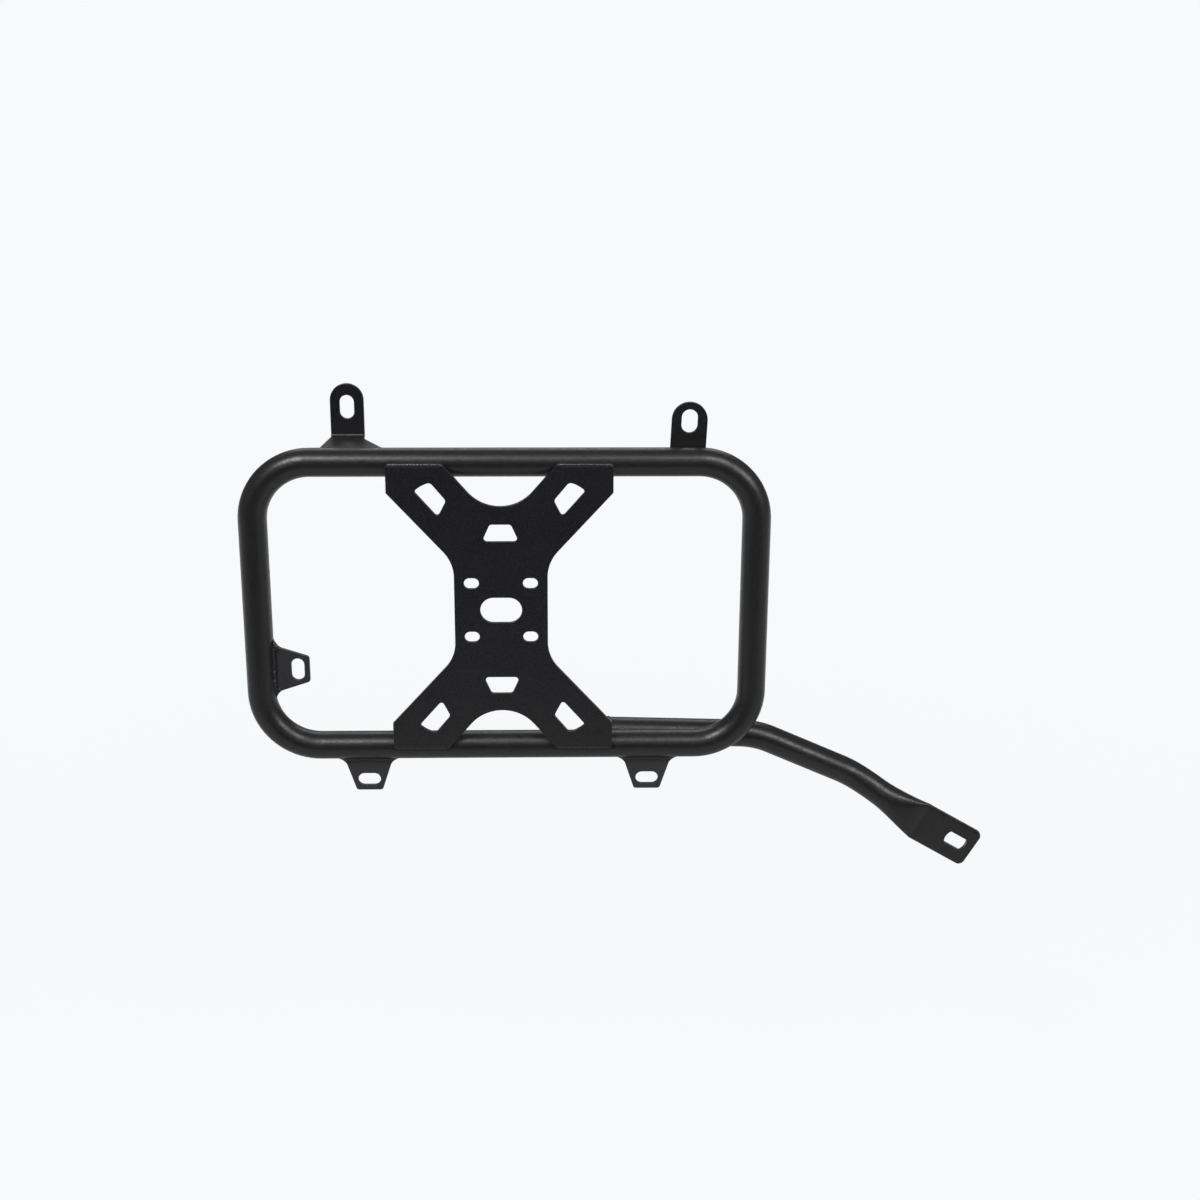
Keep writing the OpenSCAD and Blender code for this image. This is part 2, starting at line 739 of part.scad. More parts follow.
hoop_tube();
cross_plate();
rear_top_bracket();
front_top_bracket();
lower_rear_tab();
lower_front_tab();
side_tab();
support_arm();
arm_end_plug();
plate_weld_top_rear();
plate_weld_top_front();
plate_weld_bottom_rear();
plate_weld_bottom_front();
rear_bracket_weld();
front_bracket_weld_rear();
front_bracket_weld_front();
front_bracket_weld_foot();
lower_rear_tab_weld();
lower_front_tab_weld();
side_tab_weld();
arm_end_weld();
arm_rail_weld();
arm_corner_weld();
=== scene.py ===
import json
import math
import random

import bmesh
import bpy
from mathutils import Matrix, Vector


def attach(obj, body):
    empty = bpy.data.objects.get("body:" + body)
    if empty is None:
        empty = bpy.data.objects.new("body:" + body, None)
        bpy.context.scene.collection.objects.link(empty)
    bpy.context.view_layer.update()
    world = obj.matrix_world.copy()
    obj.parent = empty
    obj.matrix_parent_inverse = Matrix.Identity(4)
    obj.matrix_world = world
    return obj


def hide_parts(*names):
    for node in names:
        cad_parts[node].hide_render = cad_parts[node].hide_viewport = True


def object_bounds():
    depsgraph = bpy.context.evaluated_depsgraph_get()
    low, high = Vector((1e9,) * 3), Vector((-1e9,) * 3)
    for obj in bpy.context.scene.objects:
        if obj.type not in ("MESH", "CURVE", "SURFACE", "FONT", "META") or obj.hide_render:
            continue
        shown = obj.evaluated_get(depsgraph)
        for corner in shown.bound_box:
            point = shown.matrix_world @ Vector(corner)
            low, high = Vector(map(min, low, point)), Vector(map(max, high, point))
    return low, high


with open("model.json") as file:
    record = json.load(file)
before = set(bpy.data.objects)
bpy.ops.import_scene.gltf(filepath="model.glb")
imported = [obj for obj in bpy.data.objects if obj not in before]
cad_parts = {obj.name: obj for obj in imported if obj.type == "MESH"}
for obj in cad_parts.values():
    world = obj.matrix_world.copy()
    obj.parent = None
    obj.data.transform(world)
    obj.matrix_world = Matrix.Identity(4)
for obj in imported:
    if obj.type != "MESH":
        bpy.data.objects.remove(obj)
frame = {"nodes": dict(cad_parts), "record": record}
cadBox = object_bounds()
print("frame loaded:", len(frame["nodes"]), "pieces of steel")

mm = 0.001  # lengths below are in millimetres, meshes are in metres

# the hoop's centre, seen from the centre of the plate's slots
hoop = {"ahead": 3.7, "inboard": 14.0, "below": 1.3, "width": 384.0, "height": 229.0,
        "tubeRadius": 11.0, "bendRadius": 45.0}
hoopCentre = Vector((hoop["ahead"], hoop["inboard"], -hoop["below"]))
railUp = hoop["height"] / 2
tube = hoop["tubeRadius"]
axisX, axisY, axisZ = Vector((1, 0, 0)), Vector((0, 1, 0)), Vector((0, 0, 1))


def toLinear(hexText):
    channels = [int(hexText[i:i + 2], 16) / 255 for i in (1, 3, 5)]
    return [c / 12.92 if c <= 0.04045 else ((c + 0.055) / 1.055) ** 2.4 for c in channels] + [1.0]


def addNode(tree, kind, links=None, **settings):
    # settings starting with an underscore go on the node, the rest on its inputs
    node = tree.nodes.new(kind)
    for name, value in settings.items():
        if name.startswith("_"):
            setattr(node, name[1:], value)
        else:
            node.inputs[name.replace("_", " ")].default_value = value
    for name, source in (links or {}).items():
        tree.links.new(source, node.inputs[name])
    return node


def newPiece(name, mesh, coatName, nodeName):
    # a dressed piece that stands in for one steel node
    piece = bpy.data.objects.new(name, mesh)
    bpy.context.collection.objects.link(piece)
    mesh.materials.clear()
    mesh.materials.append(finishes[coatName])
    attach(piece, "root")
    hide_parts(nodeName)
    return piece


def pieceName(nodeName):
    return nodeName.title().replace("_", "")  # side_tab becomes SideTab


def meshFromBmesh(name, bm, smoothAngle=35):
    bmesh.ops.remove_doubles(bm, verts=bm.verts, dist=0.002)
    bmesh.ops.recalc_face_normals(bm, faces=bm.faces)
    for v in bm.verts:
        v.co *= mm
    mesh = bpy.data.meshes.new(name)
    bm.to_mesh(mesh)
    bm.free()
    mesh.polygons.foreach_set("use_smooth", [True] * len(mesh.polygons))
    mesh.set_sharp_from_angle(angle=math.radians(smoothAngle))
    return mesh


def squareNormals(piece):
    # keeps wide flat faces flat right up to their rounded edges
    modifier = piece.modifiers.new("squareNormals", "WEIGHTED_NORMAL")
    modifier.keep_sharp = True
    modifier.weight = 80


def roundedLoop(corners):
    # corners are (x, y, radius), and each one becomes an arc that touches both its sides
    loop = []
    count = len(corners)
    for i, (x, y, radius) in enumerate(corners):
        here = Vector((x, y))
        before = Vector(corners[i - 1][:2]) - here
        after = Vector(corners[(i + 1) % count][:2]) - here
        if radius <= 0:
            loop.append(here)
            continue
        before.normalize()
        after.normalize()
        half = math.acos(max(-1, min(1, before.dot(after)))) / 2
        centre = here + (before + after).normalized() * radius / math.sin(half)
        start = here + before * radius / math.tan(half) - centre
        finish = here + after * radius / math.tan(half) - centre
        sweep = math.atan2(start.cross(finish), start.dot(finish))
        steps = min(max(4, int(abs(sweep) * radius / 0.9)), 40)  # a point about every 0.9 mm
        for k in range(steps + 1):
            turn = sweep * k / steps
            loop.append(centre + Vector((start.x * math.cos(turn) - start.y * math.sin(turn),
                                         start.x * math.sin(turn) + start.y * math.cos(turn))))
    return loop


def slotLoop(x, y, length, width, upright=False):
    radius = width / 2
    straight = length / 2 - radius
    loop = []
    for end, first in ((1, -90), (-1, 90)):  # a half round at each end
        for k in range(17):
            turn = math.radians(first + 180 * k / 16)
            loop.append(Vector((end * straight + radius * math.cos(turn), radius * math.sin(turn))))
    if upright:
        loop = [Vector((-p.y, p.x)) for p in loop]
    return [p + Vector((x, y)) for p in loop]


def flipped(loop, x, y):
    return [Vector((p.x * x, p.y * y)) for p in loop]


def turned(loop, clockwise):
    area = sum(a.cross(b) for a, b in zip(loop, loop[1:] + loop[:1]))
    return loop if (area < 0) == clockwise else loop[::-1]


def sheetBmesh(outer, holes, thickness, edgeRound):
    # a flat blank in the XY plane, its middle at z = 0, with softly rounded cut edges
    curve = bpy.data.curves.new("blank", "CURVE")
    curve.dimensions = "2D"
    curve.fill_mode = "BOTH"
    curve.extrude = thickness / 2 - edgeRound
    curve.bevel_depth = edgeRound
    curve.bevel_resolution = 2
    curve.offset = -edgeRound
    for loop, clockwise in [(outer, False)] + [(hole, True) for hole in holes]:
        spline = curve.splines.new("POLY")
        loop = turned(loop, clockwise)
        spline.points.add(len(loop) - 1)
        for point, place in zip(spline.points, loop):
            point.co = (place.x, place.y, 0, 1)
        spline.use_cyclic_u = True
    blank = bpy.data.objects.new("blank", curve)
    bpy.context.collection.objects.link(blank)
    bpy.context.view_layer.update()
    evaluated = blank.evaluated_get(bpy.context.evaluated_depsgraph_get())
    bm = bmesh.new()
    bm.from_mesh(evaluated.to_mesh())
    evaluated.to_mesh_clear()
    bpy.data.objects.remove(blank)
    bpy.data.curves.remove(curve)
    bmesh.ops.remove_doubles(bm, verts=bm.verts, dist=0.002)
    return bm


def placed(bm, matrix):
    bmesh.ops.transform(bm, matrix=matrix, verts=bm.verts)
    return bm


def standUp(y):
    # XY becomes XZ; the blank's middle goes to the given y
    return Matrix.Translation((0, y, 0)) @ Matrix.Rotation(math.radians(90), 4, "X")


def skinRings(bm, rings, closed=False):
    made = [[bm.verts.new(p) for p in ring] for ring in rings]
    pairs = list(zip(made, made[1:] + made[:1])) if closed else list(zip(made, made[1:]))
    for low, high in pairs:
        count = len(low)
        for j in range(count):
            bm.faces.new((low[j], high[j], high[(j + 1) % count], low[(j + 1) % count]))
    if not closed:
        bm.faces.new(made[0])
        bm.faces.new(made[-1][::-1])
    return made


def arcPoints(centre, radius, first, last, steps, axisA, axisB):
    turns = [math.radians(first + (last - first) * k / steps) for k in range(steps + 1)]
    return [centre + (axisA * math.cos(t) + axisB * math.sin(t)) * radius for t in turns]


coat = {"colour": "#101012", "paler": "#171719", "cloud": 38.0, "rough": 0.36, "smoother": 0.05,
        "duller": 0.06, "peel": 2.4, "peelDepth": 0.05, "grain": 0.9, "grainDepth": 0.03}


def powderCoat(name, **changes):
    # polyester powder, sprayed on blasted steel and baked: the eye gets a soft satin black,
    # slightly uneven, with orange peel that roughens each highlight
    look = dict(coat, **changes)
    material = bpy.data.materials.new(name)
    material.use_nodes = True
    tree = material.node_tree
    tree.nodes.clear()
    place = addNode(tree, "ShaderNodeTexCoord").outputs["Object"]
    cloud = addNode(tree, "ShaderNodeTexNoise", {"Vector": place}, Scale=1 / (look["cloud"] * mm), Detail=3.0)
    peel = addNode(tree, "ShaderNodeTexNoise", {"Vector": place}, Scale=1 / (look["peel"] * mm),
                   Detail=2.0, Roughness=0.45)  # real orange peel is about 1 mm, drawn coarser so it shows
    grain = addNode(tree, "ShaderNodeTexNoise", {"Vector": place}, Scale=1 / (look["grain"] * mm),
                    Detail=1.0)  # powder grains are about 0.05 mm, drawn coarser too
    tone = addNode(tree, "ShaderNodeMix", {"Factor": cloud.outputs["Fac"]}, _data_type="RGBA")
    tone.inputs["A"].default_value = toLinear(look["colour"])
    tone.inputs["B"].default_value = toLinear(look["paler"])
    dull = addNode(tree, "ShaderNodeMapRange", {"Value": peel.outputs["Fac"]}, From_Min=0.3, From_Max=0.7,
                   To_Min=look["rough"] - look["smoother"], To_Max=look["rough"] + look["duller"])
    fine = addNode(tree, "ShaderNodeBump", {"Height": grain.outputs["Fac"]}, Strength=0.35,
                   Distance=look["grainDepth"] * mm)
    soft = addNode(tree, "ShaderNodeBump", {"Height": peel.outputs["Fac"], "Normal": fine.outputs["Normal"]},
                   Strength=0.6, Distance=look["peelDepth"] * mm)
    shader = addNode(tree, "ShaderNodeBsdfPrincipled",
                     {"Base Color": tone.outputs["Result"], "Roughness": dull.outputs["Result"],
                      "Normal": soft.outputs["Normal"]}, IOR=1.5)
    addNode(tree, "ShaderNodeOutputMaterial", {"Surface": shader.outputs["BSDF"]})
    return material


finishes = {  # one batch of powder on every piece, which lies a little differently on each; where a piece's base colour differs from the tube's, that difference is painted light
    # thick and pebbly on round tube, so its highlights break up
    "hoop_coat": powderCoat("satinBlackPowderCoatTube", peel=2.8, peelDepth=0.16),
    # thin and smooth on laser-cut sheet, so the plate stays even and dark; its base is a shade paler than the
    # tube's, which is painted light on the flat plate
    "plate_coat": powderCoat("satinBlackPowderCoatPlate", colour="#131315", paler="#18181A", rough=0.30,
                             peelDepth=0.012, grainDepth=0.004),
    # a little glossier on the brackets, so the fold shows a thin bright crease; the base is a shade paler than
    # the tube's, which is painted light
    "bracket_coat": powderCoat("satinBlackPowderCoatBracket", colour="#121214", paler="#18181A", rough=0.33),
    # a much paler base on the small tabs, which is painted light standing in for the light they catch from the
    # floor
    "tab_coat": powderCoat("satinBlackPowderCoatTab", colour="#1F1F21", paler="#28282A"),
    # the same tube as the hoop
    "arm_coat": powderCoat("satinBlackPowderCoatArm", peel=2.8, peelDepth=0.16),
    # the plain coat, on a cap that is mostly hidden
    "plug_coat": powderCoat("satinBlackPowderCoatPlug"),
    # glossier and rougher over the weld's ripples, which glint
    "weld_coat": powderCoat("satinBlackPowderCoatWeld", rough=0.34, peel=1.8, peelDepth=0.10),
}
slotOf = {row["node"]: row["material_slot"] for row in frame["record"]["subparts"]}
for nodeName, node in frame["nodes"].items():
    for index in range(len(node.material_slots)):
        node.material_slots[index].material = finishes[slotOf[nodeName]]
print("powder coat on every steel piece")

# metres, degrees and millimetres, fitted to the edges of the hoop, the plate and the tabs
shot = {"place": (0.0394, -1.2791, 0.4160), "yaw": 1.626, "down": 17.678, "roll": 0.298, "lens": 52.593}


def makeCamera():
    yaw, down, roll = (math.radians(shot[k]) for k in ("yaw", "down", "roll"))
    ahead = Vector((math.sin(yaw) * math.cos(down), math.cos(yaw) * math.cos(down), -math.sin(down)))
    level = Vector((math.cos(yaw), -math.sin(yaw), 0))
    upright = level.cross(ahead)
    right = level * math.cos(roll) + upright * math.sin(roll)
    up = upright * math.cos(roll) - level * math.sin(roll)
    camera = bpy.data.objects.new("camera", bpy.data.cameras.new("camera"))
    bpy.context.collection.objects.link(camera)
    camera.data.sensor_width = 36
    camera.data.lens = shot["lens"]
    camera.data.clip_start = 0.05
    turn = Matrix((right, up, -ahead)).transposed().to_4x4()
    camera.matrix_world = Matrix.Translation(shot["place"]) @ turn
    bpy.context.scene.camera = camera


makeCamera()

lampTarget = Vector((0.05, 0, 0))  # the middle of the frame
lamps = {  # metres and watts
    "softboxFrontLeft": {"place": (-0.80, -1.25, 1.50), "size": (0.9, 0.42), "power": 28},
    "softboxFrontRight": {"place": (0.80, -1.25, 1.50), "size": (0.8, 0.42), "power": 14},
    "softboxRight": {"place": (1.45, -1.05, 0.80), "size": (0.6, 0.5), "power": 11},
    "softboxRearTop": {"place": (0.10, 1.60, 1.30), "size": (1.8, 0.7), "power": 9},
}
for name, lamp in lamps.items():
    light = bpy.data.lights.new(name, "AREA")
    light.shape = "RECTANGLE"
    light.size, light.size_y = lamp["size"]
    light.energy = lamp["power"]
    holder = bpy.data.objects.new(name, light)
    bpy.context.collection.objects.link(holder)
    holder.location = lamp["place"]
    holder.rotation_mode = "QUATERNION"
    holder.rotation_quaternion = (lampTarget - holder.location).to_track_quat("-Z", "Y")

studio = {"paper": "#F7F9FB", "shaded": "#FAFBFC", "fillColour": "#EEF1F5", "fill": 0.35, "drop": 0.30,
          "middle": (0.1, 0.2), "reach": 30.0, "shadow": 0.06, "shadowFrom": 0.45, "shadowTo": 1.5,
          "clothLift": 0.01}
floorAt = cadBox[0].z - studio["drop"]
floorPanelAt = floorAt + studio["clothLift"]
flags = {  # name: glow strength, centre, size, facing; glowing panels out of the picture that only the gloss sees: painted reflections, the grey ones of a lit studio and the dark ones standing in for shade
    "darkFloorFlag": (0.004, (0, -2.73, floorPanelAt), (7.0, 3.4), (0, 0, 1)),
    "greyFloorFlag": (0.52, (0, -0.23, floorPanelAt), (7.0, 1.6), (0, 0, 1)),
    "greyBackFlag": (0.12, (0, 2.60, 1.45), (8.0, 2.8), (0, -1, 0)),
    "darkFrontFlag": (0.004, (0, -4.20, 0.20), (7.0, 1.6), (0, 1, 0)),
    "greyFrontFlag": (0.22, (0, -4.20, 2.30), (7.0, 2.6), (0, 1, 0)),
    "greyLeftFlag": (0.22, (-3.40, 0.60, 1.5), (9.6, 4.2), (1, 0, 0)),
    "greyRightFlag": (0.22, (3.40, 0.60, 1.5), (9.6, 4.2), (-1, 0, 0)),
    "greyTopFlag": (0.22, (0, -1.00, 3.60), (7.0, 6.4), (0, 0, -1)),
}


def seenShare(tree):
    # 1 for what the camera, a gloss or a clear thing sees directly, 0 for light that falls on the part
    paths = addNode(tree, "ShaderNodeLightPath")
    seen = addNode(tree, "ShaderNodeMath",
                   {0: paths.outputs["Is Camera Ray"], 1: paths.outputs["Is Glossy Ray"]}, _operation="MAXIMUM")
    return addNode(tree, "ShaderNodeMath", {0: seen.outputs[0], 1: paths.outputs["Is Transmission Ray"]},
                   _operation="MAXIMUM").outputs[0]


def stagePanel(name, material, centre, size, normal):
    bm = bmesh.new()
    bmesh.ops.create_grid(bm, x_segments=6, y_segments=6, size=0.5)
    bmesh.ops.scale(bm, vec=(size[0], size[1], 1), verts=bm.verts)
    mesh = bpy.data.meshes.new(name)
    bm.to_mesh(mesh)
    bm.free()
    mesh.materials.append(material)
    panel = bpy.data.objects.new(name, mesh)
    bpy.context.collection.objects.link(panel)
    panel.location = centre
    panel.rotation_mode = "QUATERNION"
    panel.rotation_quaternion = Vector(normal).to_track_quat("Z", "Y")
    return panel


def makeFill():
    # a weak even fill for the part, and pale paper wherever the background is seen
    world = bpy.data.worlds.new("studio")
    bpy.context.scene.world = world
    world.use_nodes = True
    tree = world.node_tree
    tree.nodes.clear()
    fill = addNode(tree, "ShaderNodeBackground", Strength=studio["fill"])
    fill.inputs["Color"].default_value = toLinear(studio["fillColour"])
    pale = addNode(tree, "ShaderNodeBackground", Strength=1.0)
    pale.inputs["Color"].default_value = toLinear(studio["paper"])
    mix = addNode(tree, "ShaderNodeMixShader", {0: seenShare(tree), 1: fill.outputs[0], 2: pale.outputs[0]})
    addNode(tree, "ShaderNodeOutputWorld", {"Surface": mix.outputs[0]})


def makePaper():
    # uncoated studio paper: matt, nearly white, and it keeps the part's soft shadow
    paper = bpy.data.materials.new("paleStudioPaper")
    paper.use_nodes = True
    tree = paper.node_tree
    tree.nodes.clear()
    matt = addNode(tree, "ShaderNodeBsdfDiffuse")
    matt.inputs["Color"].default_value = toLinear(studio["shaded"])
    glow = addNode(tree, "ShaderNodeEmission", Strength=1.0)
    glow.inputs["Color"].default_value = toLinear(studio["paper"])
    # the shadow is kept near the part and fades out, so that the paper has no far edge
    place = addNode(tree, "ShaderNodeTexCoord").outputs["Object"]
    away = addNode(tree, "ShaderNodeVectorMath", {0: place}, _operation="LENGTH")
    near = addNode(tree, "ShaderNodeMapRange", {"Value": away.outputs["Value"]},
                   _interpolation_type="SMOOTHSTEP",
                   From_Min=studio["shadowFrom"], From_Max=studio["shadowTo"],
                   To_Min=1 - studio["shadow"], To_Max=1.0)
    share = addNode(tree, "ShaderNodeMath", {0: seenShare(tree), 1: near.outputs["Result"]},
                    _operation="MULTIPLY")
    mix = addNode(tree, "ShaderNodeMixShader", {0: share.outputs[0], 1: matt.outputs[0], 2: glow.outputs[0]})
    addNode(tree, "ShaderNodeOutputMaterial", {"Surface": mix.outputs[0]})
    wide = 2 * studio["reach"]
    stagePanel("studioFloor", paper, (*studio["middle"], floorAt), (wide, wide), (0, 0, 1))


def makeFlags():
    # glowing panels, even and no lamps, which paint grey reflections and dark shade into the gloss so that it
    # shows something besides paper
    for name, (tone, centre, size, normal) in flags.items():
        panelGlow = bpy.data.materials.new(name)
        panelGlow.use_nodes = True
        tree = panelGlow.node_tree
        tree.nodes.clear()
        glow = addNode(tree, "ShaderNodeEmission", Strength=tone)
        addNode(tree, "ShaderNodeOutputMaterial", {"Surface": glow.outputs[0]})
        panel = stagePanel(name, panelGlow, centre, size, normal)
        panel.visible_camera = panel.visible_diffuse = panel.visible_transmission = False
        panel.visible_shadow = False  # only the gloss sees the glowing panels


makeFill()
makePaper()
makeFlags()
bpy.context.scene.view_settings.view_transform = "Standard"
print("camera, lamps and floor")

# each armWindow length is how far a corner of the corner windows lies from the plate's side, foot,
# rim, top or waist; a window's outer end bulges by windowBow
plate = {"thick": 3.0, "edge": 0.45, "width": 171.0, "short": 2.0, "footEdge": 21.0,
         "footCorner": 0.6, "topCorner": 0.8, "waist": 71.5, "waistRise": 38.0, "waistRadius": 30.0,
         "veeDepth": 31.5, "veeWidth": 84.0, "veeRadius": 32.0,
         "slotAcross": 45.0, "slotUp": 43.0, "slotWide": 8.4, "slotLong": 11.5,
         "middleWide": 32.0, "middleHigh": 20.0,
         "windowAt": 54.5, "windowHigh": 13.4, "windowLong": 28.0, "windowShort": 16.0, "windowRadius": 2.5,
         "armWindowSide": 21.0, "armWindowFoot": 1.5, "armWindowRim": 10.3, "armWindowTop": 12.8,
         "armWindowVee": 1.5, "armWindowMid": 27.0, "armWindowWaist": 11.2, "armWindowLow": 39.5,
         "armWindowRadius": 2.0, "innerWindowRadius": 3.4, "windowBow": 1.0, "windowBowRadius": 24.0}


def plateOutline():
    top = (hoop["height"] - plate["short"]) / 2
    side = plate["width"] / 2
    foot = top - plate["footEdge"]
    rim = plate["veeWidth"] / 2
    drop = plate["veeRadius"] - plate["veeDepth"]  # how far beyond the edge the vee's round bottom is centred
    span = math.hypot(rim, drop)
    lean = math.asin(plate["veeRadius"] / span) - math.atan2(drop, rim)
    apex = (0, top - rim * math.tan(lean), plate["veeRadius"])
    right = [(plate["waist"] / 2, plate["waistRise"], plate["waistRadius"]), (side, foot, plate["footCorner"]),
             (side, top, plate["topCorner"]), (rim, top, plate["topCorner"])]
    left = [(-x, y, r) for x, y, r in right[::-1]]
    upper = right + [apex] + left
    lower = [(-x, -y, r) for x, y, r in upper]
    return roundedLoop(upper + lower)


def plateHoles():
    top = (hoop["height"] - plate["short"]) / 2
    foot = top - plate["footEdge"]
    rim = plate["veeWidth"] / 2
    side = plate["width"] / 2
    corner, rounder = plate["armWindowRadius"], plate["innerWindowRadius"]
    outer = Vector((side - plate["armWindowSide"], foot + plate["armWindowFoot"]))
    upper = Vector((rim + plate["armWindowRim"], top - plate["armWindowTop"]))
    across = (upper - outer).normalized()
    bow = (outer + upper) / 2 + Vector((across.y, -across.x)) * plate["windowBow"]  # the outer end bulges
    armWindow = roundedLoop([
        (outer.x, outer.y, corner), (bow.x, bow.y, plate["windowBowRadius"]), (upper.x, upper.y, rounder),
        (rim - plate["armWindowVee"], top - plate["armWindowMid"], rounder),
        (plate["waist"] / 2 + plate["armWindowWaist"], top - plate["armWindowLow"], corner)])
    half, narrow = plate["windowLong"] / 2, plate["windowShort"] / 2
    near, far = plate["windowAt"], plate["windowAt"] + plate["windowHigh"]
    corner = plate["windowRadius"]
    waistWindow = roundedLoop([(half, near, corner), (narrow, far, corner), (-narrow, far, corner),
                               (-half, near, corner)])
    holes = [flipped(armWindow, x, y) for x in (1, -1) for y in (1, -1)]
    holes += [flipped(waistWindow, 1, y) for y in (1, -1)]
    for x in (-1, 1):
        for y in (-1, 1):
            holes.append(slotLoop(x * plate["slotAcross"] / 2, y * plate["slotUp"] / 2,
                                  plate["slotLong"], plate["slotWide"]))
    holes.append(slotLoop(0, 0, plate["middleWide"], plate["middleHigh"]))
    return holes


bm = sheetBmesh(plateOutline(), plateHoles(), plate["thick"], plate["edge"])
placed(bm, standUp(plate["thick"] / 2))
squareNormals(newPiece("crossPlate", meshFromBmesh("crossPlate", bm), "plate_coat", "cross_plate"))
print("cross plate")

# reach is from the tube's skin to the tip, and flare is how fast the sides spread toward the tube
tab = {"thick": 3.0, "reach": 27.3, "tip": 20.5, "flare": 0.33, "corner": 2.5, "slotWide": 10.0,
       "slotLong": 17.8, "slotIn": 9.2, "rootIn": 0.86, "gap": 220.8, "sideDrop": 50.5, "edge": 0.45}


def makeTab(nodeName, matrix):
    tip = -tube - tab["reach"]
    root = -tube * tab["rootIn"]  # inside the tube, so that no gap shows
    half = tab["tip"] / 2
    wide = half + tab["flare"] * (root - tip)
    outer = roundedLoop([(-wide, root, 0), (-half, tip, tab["corner"]), (half, tip, tab["corner"]),
                         (wide, root, 0)])
    hole = slotLoop(0, tip + tab["slotIn"], tab["slotLong"], tab["slotWide"])
    bm = sheetBmesh(outer, [hole], tab["thick"], tab["edge"])
    placed(bm, matrix @ standUp(0))
    name = pieceName(nodeName)
    squareNormals(newPiece(name, meshFromBmesh(name, bm), "tab_coat", nodeName))


tabPlaces = {  # where each tab's middle meets the tube's centre line
    "lower_rear_tab": Matrix.Translation(hoopCentre + Vector((-tab["gap"] / 2, 0, -railUp))),
    "lower_front_tab": Matrix.Translation(hoopCentre + Vector((tab["gap"] / 2, 0, -railUp))),
    "side_tab": Matrix.Translation(hoopCentre + Vector((-hoop["width"] / 2, 0, -tab["sideDrop"])))
    @ Matrix.Rotation(math.radians(-90), 4, "Y"),
}
for nodeName, matrix in tabPlaces.items():
    makeTab(nodeName, matrix)
print("three slotted tabs")

# offset is how far inboard the upright part stands, and sweep is the hollow side's radius
rear = {"thick": 3.0, "offset": 48.0, "up": 9.6, "back": 122.8, "tabWide": 26.0, "tabHigh": 41.08,
        "foldRadius": 2.0, "spread": 4.5, "point": 34.0, "sweep": 24.0, "slotWide": 11.0, "slotLong": 18.5,
        "slotIn": 18.2, "root": 3.5, "edge": 0.45}


def makeRearBracket():
    # drawn flat as one blank, cut, then folded; x goes along the rail and y along the blank
    half = rear["tabWide"] / 2
    foldAt = rear["offset"] - rear["foldRadius"]
    middle = rear["foldRadius"] + rear["thick"] / 2  # radius of the sheet's middle in the fold
    foldLong = middle * math.pi / 2
    top = foldAt + foldLong + rear["tabHigh"] - rear["foldRadius"]
    loop = [Vector((-half - rear["spread"], rear["root"])), Vector((-half, foldAt)),
            Vector((-half, top - half))]
    loop += [Vector((-half * math.cos(t), top - half + half * math.sin(t)))
             for t in [math.pi * k / 28 for k in range(1, 28)]]
    loop += [Vector((half, top - half)), Vector((half, foldAt))]
    hollow = Vector((half + rear["sweep"], foldAt))  # the swept side turns about this point
    away = Vector((rear["point"], 0)) - hollow
    last = math.atan2(away.y, away.x) + 2 * math.pi - math.acos(rear["sweep"] / away.length)
    for k in range(1, 15):
        turn = math.pi + (last - math.pi) * k / 14
        loop.append(hollow + Vector((math.cos(turn), math.sin(turn))) * rear["sweep"])
    share = rear["root"] / loop[-1].y
    loop.append(Vector((rear["point"] + (loop[-1].x - rear["point"]) * share, rear["root"])))
    hole = slotLoop(0, top - rear["slotIn"], rear["slotLong"], rear["slotWide"], upright=True)
    bm = sheetBmesh(loop, [hole], rear["thick"], rear["edge"])
    for k in range(9):  # lines across the fold, so that it bends round
        geometry = bm.verts[:] + bm.edges[:] + bm.faces[:]
        bmesh.ops.bisect_plane(bm, geom=geometry, dist=0.0005, plane_no=(0, 1, 0),
                               plane_co=(0, foldAt + foldLong * k / 8, 0))
    for v in bm.verts:  # fold the flat blank
        x, s, d = v.co
        if s <= foldAt:
            v.co = (x, s, -rear["thick"] / 2 + d)
        elif s < foldAt + foldLong:
            turn = (s - foldAt) / middle
            v.co = (x, foldAt + (middle - d) * math.sin(turn),
                    rear["foldRadius"] - (middle - d) * math.cos(turn))
        else:
            v.co = (x, foldAt + middle - d, rear["foldRadius"] + s - foldAt - foldLong)
    placed(bm, Matrix.Translation(hoopCentre + Vector((-rear["back"], 0, railUp + rear["up"]))))
    mesh = meshFromBmesh("RearTopBracket", bm)
    squareNormals(newPiece("RearTopBracket", mesh, "bracket_coat", "rear_top_bracket"))


makeRearBracket()
print("folded rear bracket")

# ahead is along the rail from the hoop's centre, and lean is in degrees toward the front
front = {"thick": 3.0, "ahead": 138.8, "wide": 27.3, "top": 43.5, "down": 1.5, "lean": 2.5,
         "slotWide": 12.2, "slotLong": 18.0, "slotIn": 14.6, "edge": 0.45}
frontPlace = (Matrix.Translation(hoopCentre + Vector((front["ahead"], tube, railUp)))
              @ Matrix.Rotation(math.radians(front["lean"]), 4, "Y"))


def makeFrontBracket():
    half = front["wide"] / 2
    high = front["top"] - half
    loop = [Vector((-half, -front["down"])), Vector((half, -front["down"])), Vector((half, high))]
    loop += [Vector((half * math.cos(t), high + half * math.sin(t)))
             for t in [math.pi * k / 28 for k in range(1, 28)]]
    loop.append(Vector((-half, high)))
    hole = slotLoop(0, front["top"] - front["slotIn"], front["slotLong"], front["slotWide"], upright=True)
    bm = sheetBmesh(loop, [hole], front["thick"], front["edge"])
    placed(bm, frontPlace @ standUp(front["thick"] / 2))
    mesh = meshFromBmesh("FrontTopBracket", bm)
    squareNormals(newPiece("FrontTopBracket", mesh, "bracket_coat", "front_top_bracket"))


makeFrontBracket()
print("flat front bracket")

